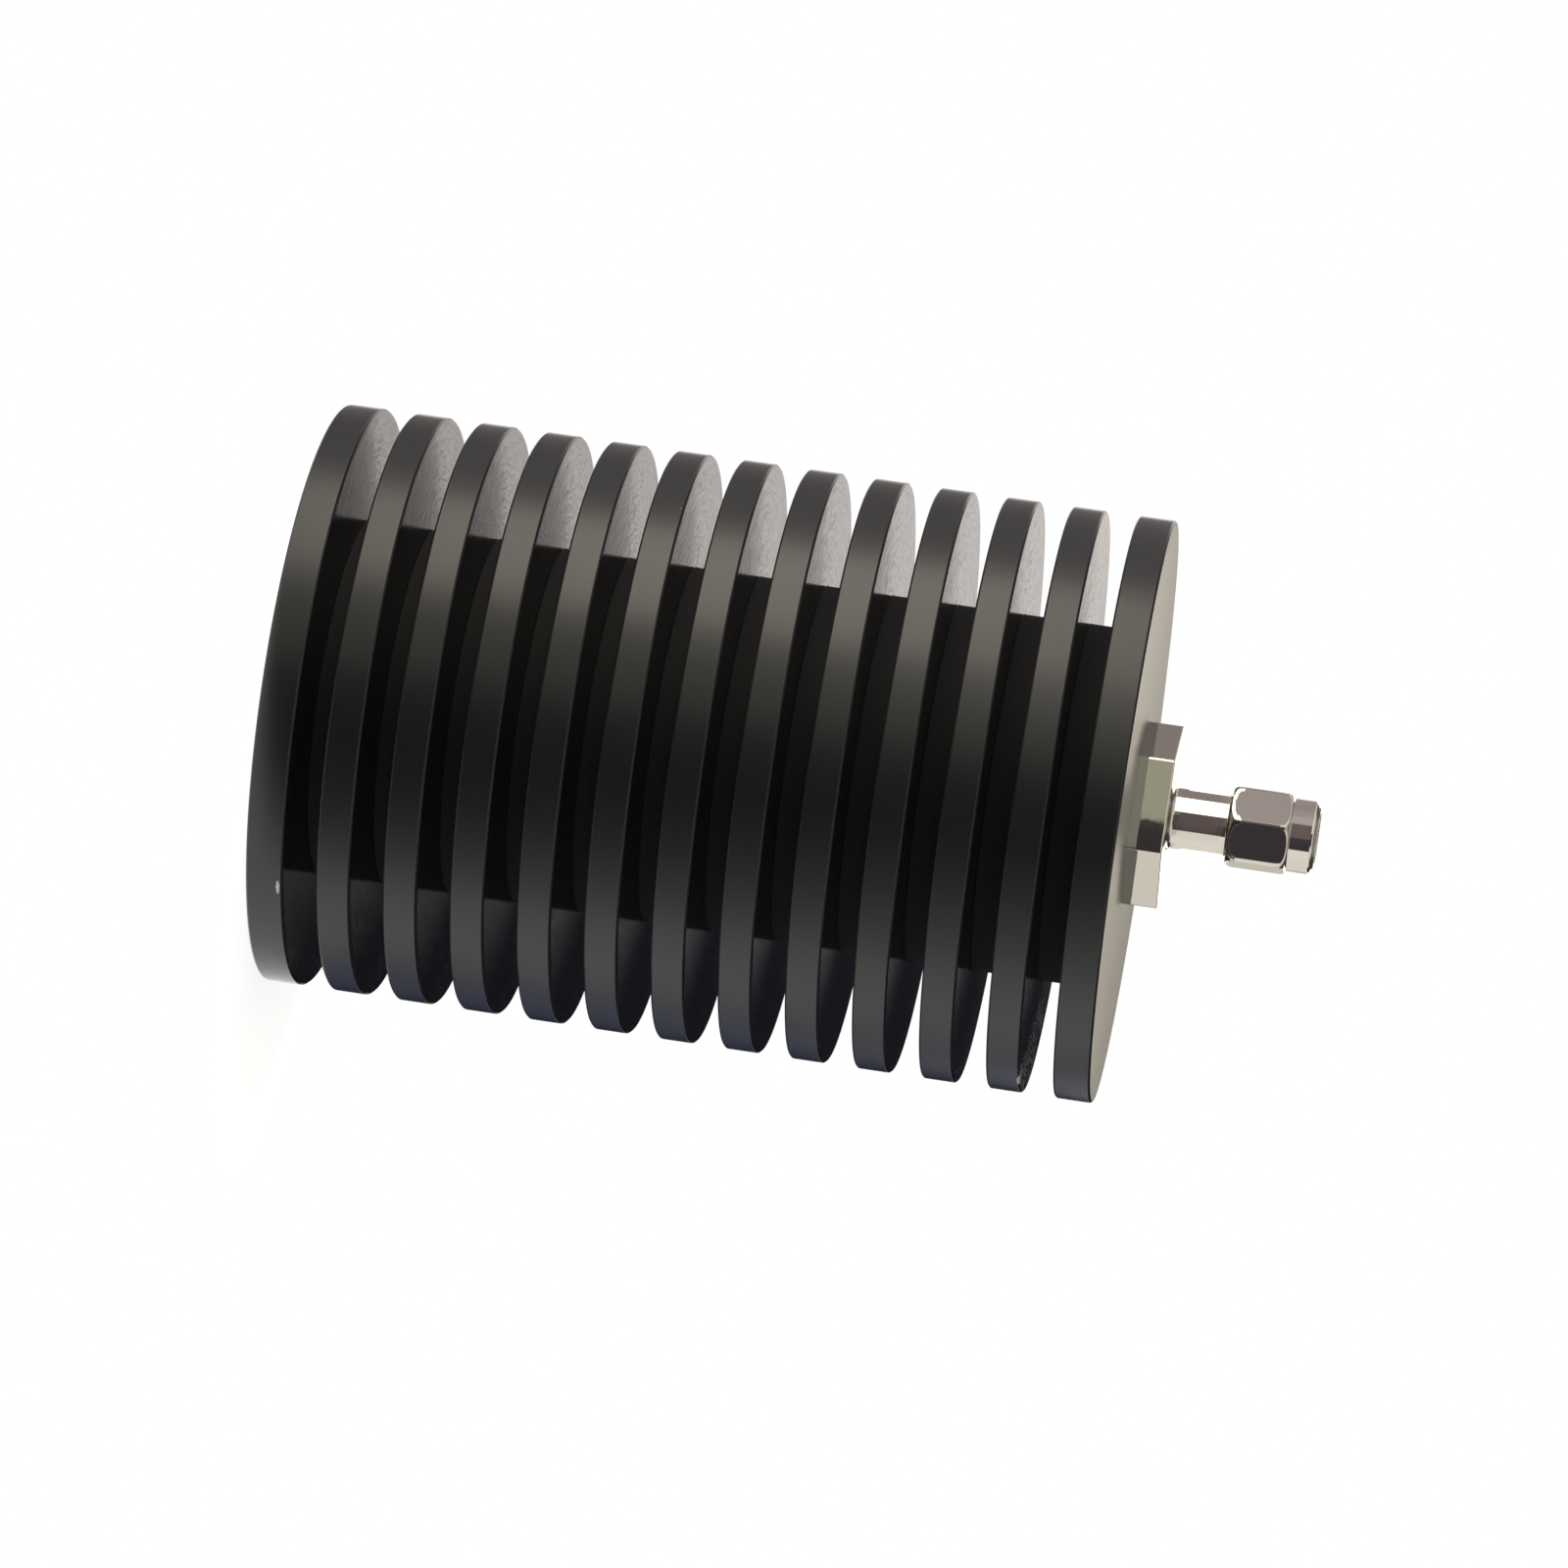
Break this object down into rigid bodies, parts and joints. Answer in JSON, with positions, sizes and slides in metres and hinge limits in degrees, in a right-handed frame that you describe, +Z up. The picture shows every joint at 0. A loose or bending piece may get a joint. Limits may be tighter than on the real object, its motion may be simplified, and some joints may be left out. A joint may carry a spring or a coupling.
{
  "type": "rf dummy load",
  "caption": "Coaxial dummy load: a black anodised finned heat sink turned from one bar, with a hexagonal screw-in termination and a plug connector whose coupling nut turns freely.",
  "frame": {"origin": "centre of the flat back of the first disc, on the axis, where the part stands", "axes": "+Z up along the axis from the back disc to the connector, a flat of the large hexagon faces -Y"},
  "size_m": [0.062, 0.062, 0.1083],
  "materials": {
    "black_anodised_aluminium": "turned and black anodised, satin",
    "nickel_plated_brass": "bright nickel plate",
    "spring_bronze": "bare spring bronze",
    "silicone_rubber": "moulded, matt",
    "white_insulator": "turned, waxy",
    "gold_plated_bronze": "gold plate",
    "nickel_plated_copper": "dull nickel plate",
    "ceramic_chip": "fired ceramic with a film",
    "silver_strip": "silver strip"
  },
  "bodies": {
    "load": {"heat_sink": "black_anodised_aluminium", "connector_body": "nickel_plated_brass", "retaining_ring": "spring_bronze", "gasket": "silicone_rubber", "insulator": "white_insulator", "center_contact": "gold_plated_bronze", "resistor_carrier": "nickel_plated_copper", "resistor_chip": "ceramic_chip", "resistor_tab": "silver_strip"},
    "nut": {"coupling_nut": "nickel_plated_brass"}
  },
  "joints": [
    {"name": "coupling_nut_spin", "type": "hinge", "parent": "load", "child": "nut", "pos_m": [0, 0, 0.09985], "axis": [0, 0, 1], "continuous": true}
  ]
}
